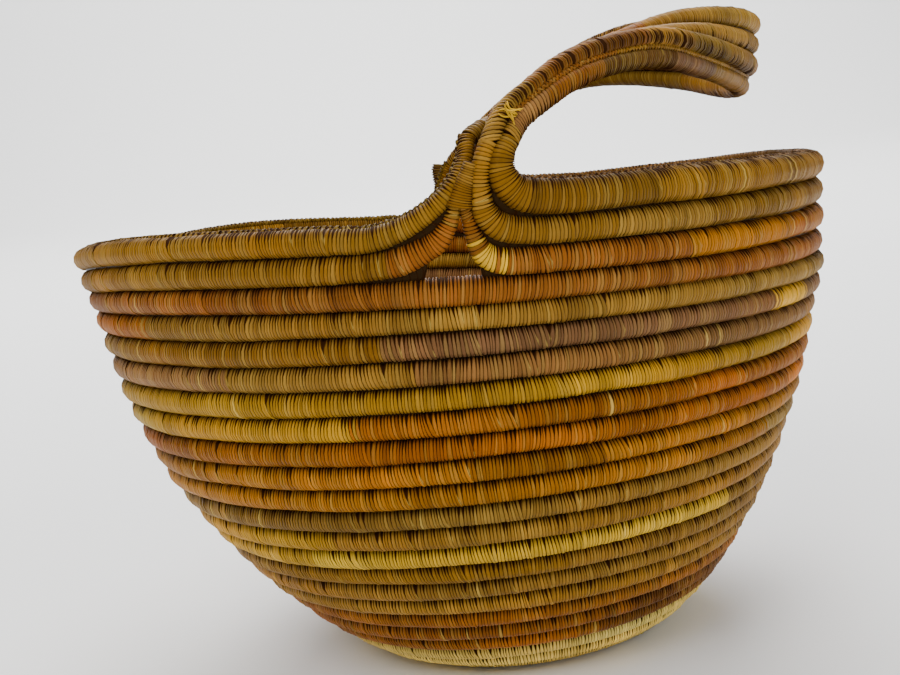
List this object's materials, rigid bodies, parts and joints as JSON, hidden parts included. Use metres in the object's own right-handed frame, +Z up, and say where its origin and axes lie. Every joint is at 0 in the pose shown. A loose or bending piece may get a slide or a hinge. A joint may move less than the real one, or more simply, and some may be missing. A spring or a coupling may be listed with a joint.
{
  "type": "coiled gathering basket",
  "caption": "Round-bottomed basket of a wrapped plant-fibre coil, with rim rows that rise and join as a bail handle leaning to one side.",
  "frame": {"origin": "middle of the bounding box, on the plane that the basket stands on; the base's own centre is 18 mm to +X of it", "axes": "+Z up; -Y the side with the open root of the handle; +X the side that the handle leans to"},
  "size_m": [0.3621, 0.36, 0.2956],
  "materials": {
    "top_rust_coil": "rust-orange dyed palm wrapping, satin",
    "olive_coil": "olive-khaki dyed palm wrapping, satin",
    "brown_coil": "purple-brown dyed palm wrapping, satin",
    "yellow_coil": "yellow dyed palm wrapping, satin",
    "orange_coil": "orange dyed palm wrapping, satin",
    "khaki_coil": "khaki dyed palm wrapping, satin",
    "pale_straw_coil": "pale straw palm wrapping, satin",
    "amber_coil": "amber dyed palm wrapping, satin",
    "rust_coil": "rust-red dyed palm wrapping, satin",
    "base_coil": "undyed straw palm wrapping, satin",
    "start_knot": "undyed straw palm wrapping, satin",
    "left_upper_rim_coil": "ochre dyed palm wrapping, satin",
    "left_lower_rim_coil": "khaki and orange dyed palm wrapping, satin",
    "right_lower_rim_coil": "orange dyed palm wrapping, satin",
    "right_middle_rim_coil": "khaki dyed palm wrapping, satin",
    "right_upper_rim_coil": "ochre-khaki dyed palm wrapping, satin",
    "outer_handle_strand": "ochre dyed palm wrapping, satin",
    "core_handle_strand": "ochre dyed palm wrapping, satin",
    "middle_handle_strand": "ochre and rust dyed palm wrapping, satin",
    "inner_handle_strand": "brown-ochre dyed palm wrapping, satin",
    "near_binding": "khaki palm wrapping, satin",
    "neck_tie": "undyed straw palm strip, satin"
  },
  "bodies": {
    "root": {"top_rust_coil": "top_rust_coil", "olive_coil": "olive_coil", "brown_coil": "brown_coil", "yellow_coil": "yellow_coil", "orange_coil": "orange_coil", "khaki_coil": "khaki_coil", "pale_straw_coil": "pale_straw_coil", "amber_coil": "amber_coil", "rust_coil": "rust_coil", "base_coil": "base_coil", "start_knot": "start_knot", "left_upper_rim_coil": "left_upper_rim_coil", "left_lower_rim_coil": "left_lower_rim_coil", "right_lower_rim_coil": "right_lower_rim_coil", "right_middle_rim_coil": "right_middle_rim_coil", "right_upper_rim_coil": "right_upper_rim_coil", "outer_handle_strand": "outer_handle_strand", "core_handle_strand": "core_handle_strand", "middle_handle_strand": "middle_handle_strand", "inner_handle_strand": "inner_handle_strand", "near_binding": "near_binding", "neck_tie": "neck_tie"}
  },
  "joints": []
}
